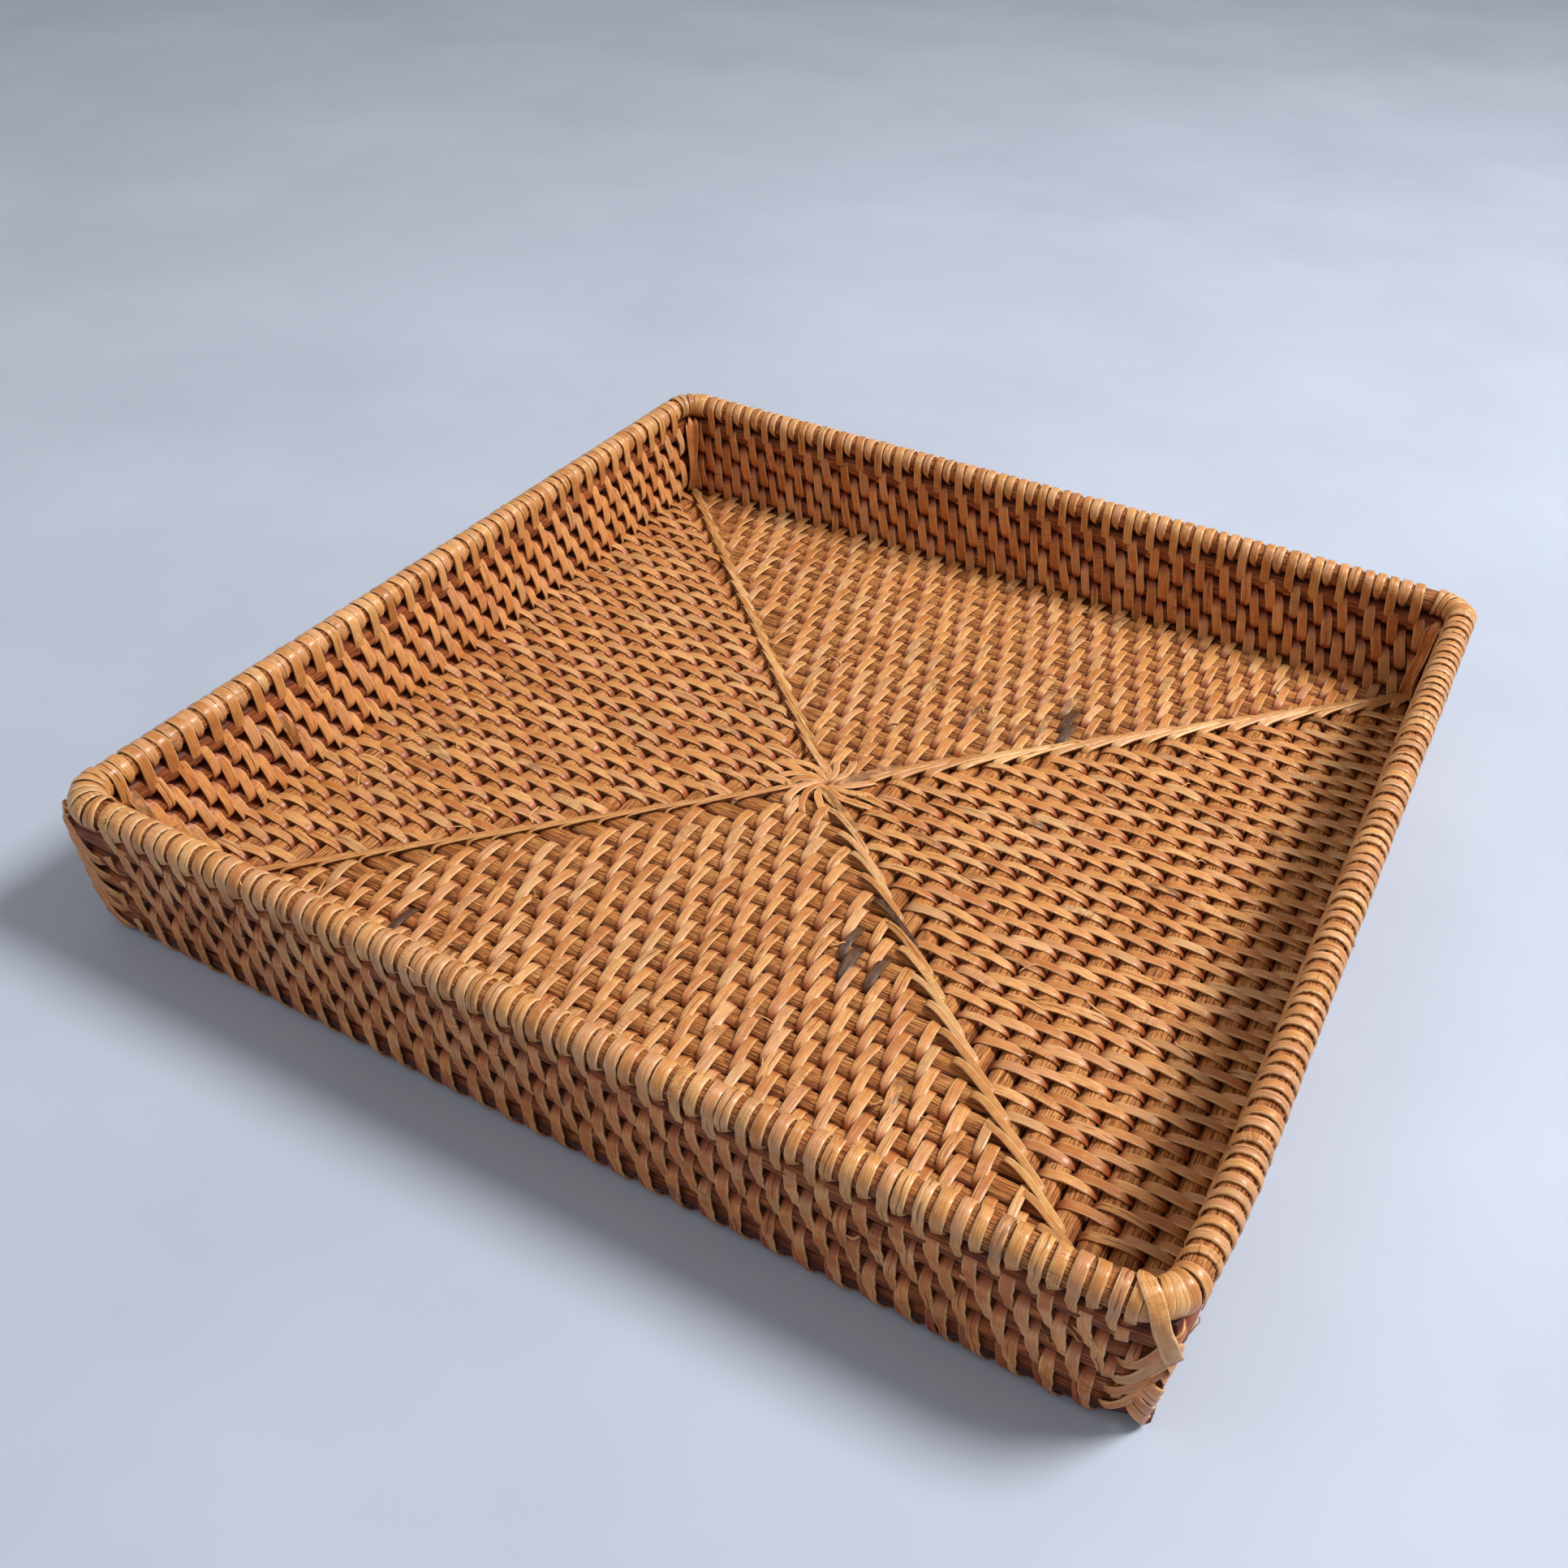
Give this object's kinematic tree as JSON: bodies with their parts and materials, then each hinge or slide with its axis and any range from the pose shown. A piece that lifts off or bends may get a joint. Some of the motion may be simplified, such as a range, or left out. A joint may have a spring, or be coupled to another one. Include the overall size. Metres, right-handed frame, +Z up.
{
  "type": "serving tray",
  "caption": "Square tray of coiled rattan with a low upright wall and a bound rim, for carrying and serving food and tableware.",
  "frame": {"origin": "on the ground under the middle of the tray", "axes": "+Z up; the four sides face -Y, +X, +Y and -X"},
  "size_m": [0.2998, 0.2998, 0.0448],
  "materials": {
    "floor_core": "coarse long fibres, lightly lacquered",
    "wall_core": "coarse long fibres, lightly lacquered",
    "rim_core": "coarse long fibres, lightly lacquered",
    "floor_peel": "glossy natural peel under clear lacquer",
    "wall_peel": "glossy natural peel under clear lacquer",
    "rim_peel": "glossy natural peel under clear lacquer",
    "mitre_peel": "split peel, satin"
  },
  "bodies": {
    "root": {"base_coil": "wall_core", "centre_lashing": "floor_peel", "core_tail": "wall_core", "corner_lacing": "wall_peel", "floor_binding_02": "floor_peel", "floor_binding_03": "floor_peel", "floor_binding_04": "floor_peel", "floor_binding_05": "floor_peel", "floor_binding_06": "floor_peel", "floor_binding_07": "floor_peel", "floor_binding_08": "floor_peel", "floor_binding_09": "floor_peel", "floor_binding_10": "floor_peel", "floor_binding_11": "floor_peel", "floor_binding_12": "floor_peel", "floor_binding_13": "floor_peel", "floor_binding_14": "floor_peel", "floor_binding_15": "floor_peel", "floor_binding_16": "floor_peel", "floor_binding_17": "floor_peel", "floor_binding_18": "floor_peel", "floor_binding_19": "floor_peel", "floor_binding_20": "floor_peel", "floor_coil_01": "floor_core", "floor_coil_02": "floor_core", "floor_coil_03": "floor_core", "floor_coil_04": "floor_core", "floor_coil_05": "floor_core", "floor_coil_06": "floor_core", "floor_coil_07": "floor_core", "floor_coil_08": "floor_core", "floor_coil_09": "floor_core", "floor_coil_10": "floor_core", "floor_coil_11": "floor_core", "floor_coil_12": "floor_core", "floor_coil_13": "floor_core", "floor_coil_14": "floor_core", "floor_coil_15": "floor_core", "floor_coil_16": "floor_core", "floor_coil_17": "floor_core", "floor_coil_18": "floor_core", "floor_coil_19": "floor_core", "floor_coil_20": "floor_core", "mitre_strips_back": "mitre_peel", "mitre_strips_front": "mitre_peel", "mitre_strips_left": "mitre_peel", "mitre_strips_right": "mitre_peel", "rim_binding_long": "rim_peel", "rim_binding_short": "rim_peel", "rim_corner_wraps": "rim_peel", "rim_rod": "rim_core", "wall_binding_1": "wall_peel", "wall_binding_2": "wall_peel", "wall_binding_3": "wall_peel", "wall_binding_4": "wall_peel", "wall_coil_1": "wall_core", "wall_coil_2": "wall_core", "wall_coil_3": "wall_core", "wall_coil_4": "wall_core"}
  },
  "joints": []
}
